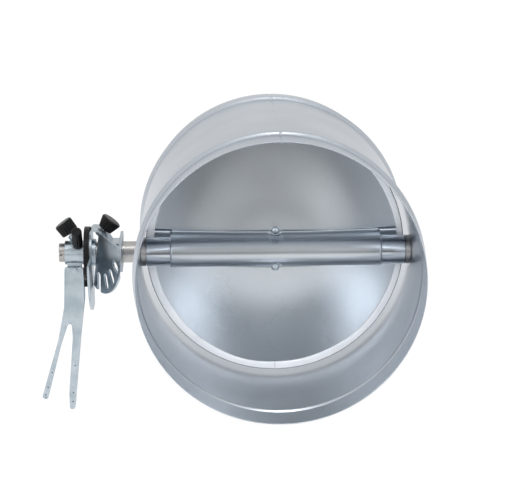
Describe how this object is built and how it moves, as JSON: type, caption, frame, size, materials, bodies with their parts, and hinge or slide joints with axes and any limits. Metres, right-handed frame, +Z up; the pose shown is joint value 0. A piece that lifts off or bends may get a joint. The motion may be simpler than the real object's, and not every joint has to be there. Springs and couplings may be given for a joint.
{
  "type": "manual round damper",
  "caption": "Round duct damper: a beaded sheet tube with a dished blade on a cross shaft, set by a forked lever and held by screw knobs.",
  "frame": {"origin": "centre of the near mouth, in the plane of its edge", "axes": "+Y along the duct from the near mouth to the far one, +Z up, the shaft along X with the lever at -X"},
  "size_m": [0.2806, 0.198, 0.2203],
  "materials": {
    "galvanised_sheet": "dull spangled zinc",
    "zinc_plated_steel": "bluish satin zinc plate",
    "turned_steel": "turned, satin",
    "black_plastic": "moulded, semi-matt",
    "seal_rubber": "pale grey, matt"
  },
  "bodies": {
    "casing": {"casing_tube": "galvanised_sheet", "drive_bush": "turned_steel", "idle_bush": "turned_steel", "quadrant_bracket": "zinc_plated_steel", "bearing_washer": "zinc_plated_steel", "friction_disc": "black_plastic", "lock_nut": "zinc_plated_steel"},
    "blade": {"shaft": "turned_steel", "shaft_clip": "turned_steel", "shaft_sleeve": "galvanised_sheet", "blade_plate": "galvanised_sheet", "blade_edge_seal": "seal_rubber", "rear_strap": "galvanised_sheet", "upper_blade_rivet": "zinc_plated_steel", "lower_blade_rivet": "zinc_plated_steel", "lever_hub": "zinc_plated_steel", "forked_lever": "zinc_plated_steel", "lever_rivet": "zinc_plated_steel", "friction_block": "black_plastic"},
    "hub_clamp": {"hub_clamp_screw": "zinc_plated_steel", "hub_clamp_knob": "black_plastic"},
    "hub_set": {"hub_set_screw": "zinc_plated_steel", "hub_set_knob": "black_plastic"},
    "lock": {"lock_screw": "zinc_plated_steel", "lock_knob": "black_plastic"}
  },
  "joints": [
    {"name": "blade_pivot", "type": "hinge", "parent": "casing", "child": "blade", "pos_m": [0, 0.097, 0], "axis": [-1, 0, 0], "range_deg": [0, 90]},
    {"name": "hub_clamp_turn", "type": "hinge", "parent": "blade", "child": "hub_clamp", "pos_m": [-0.1438, 0.0995, 0.0065], "axis": [-0.5879, 0, 0.8089], "continuous": true},
    {"name": "hub_set_turn", "type": "hinge", "parent": "blade", "child": "hub_set", "pos_m": [-0.1438, 0.097, 0], "axis": [0, -0.6402, 0.7682], "continuous": true},
    {"name": "lock_turn", "type": "hinge", "parent": "casing", "child": "lock", "pos_m": [-0.1318, 0.097, 0.0075], "axis": [0.6101, 0, 0.7923], "continuous": true}
  ]
}
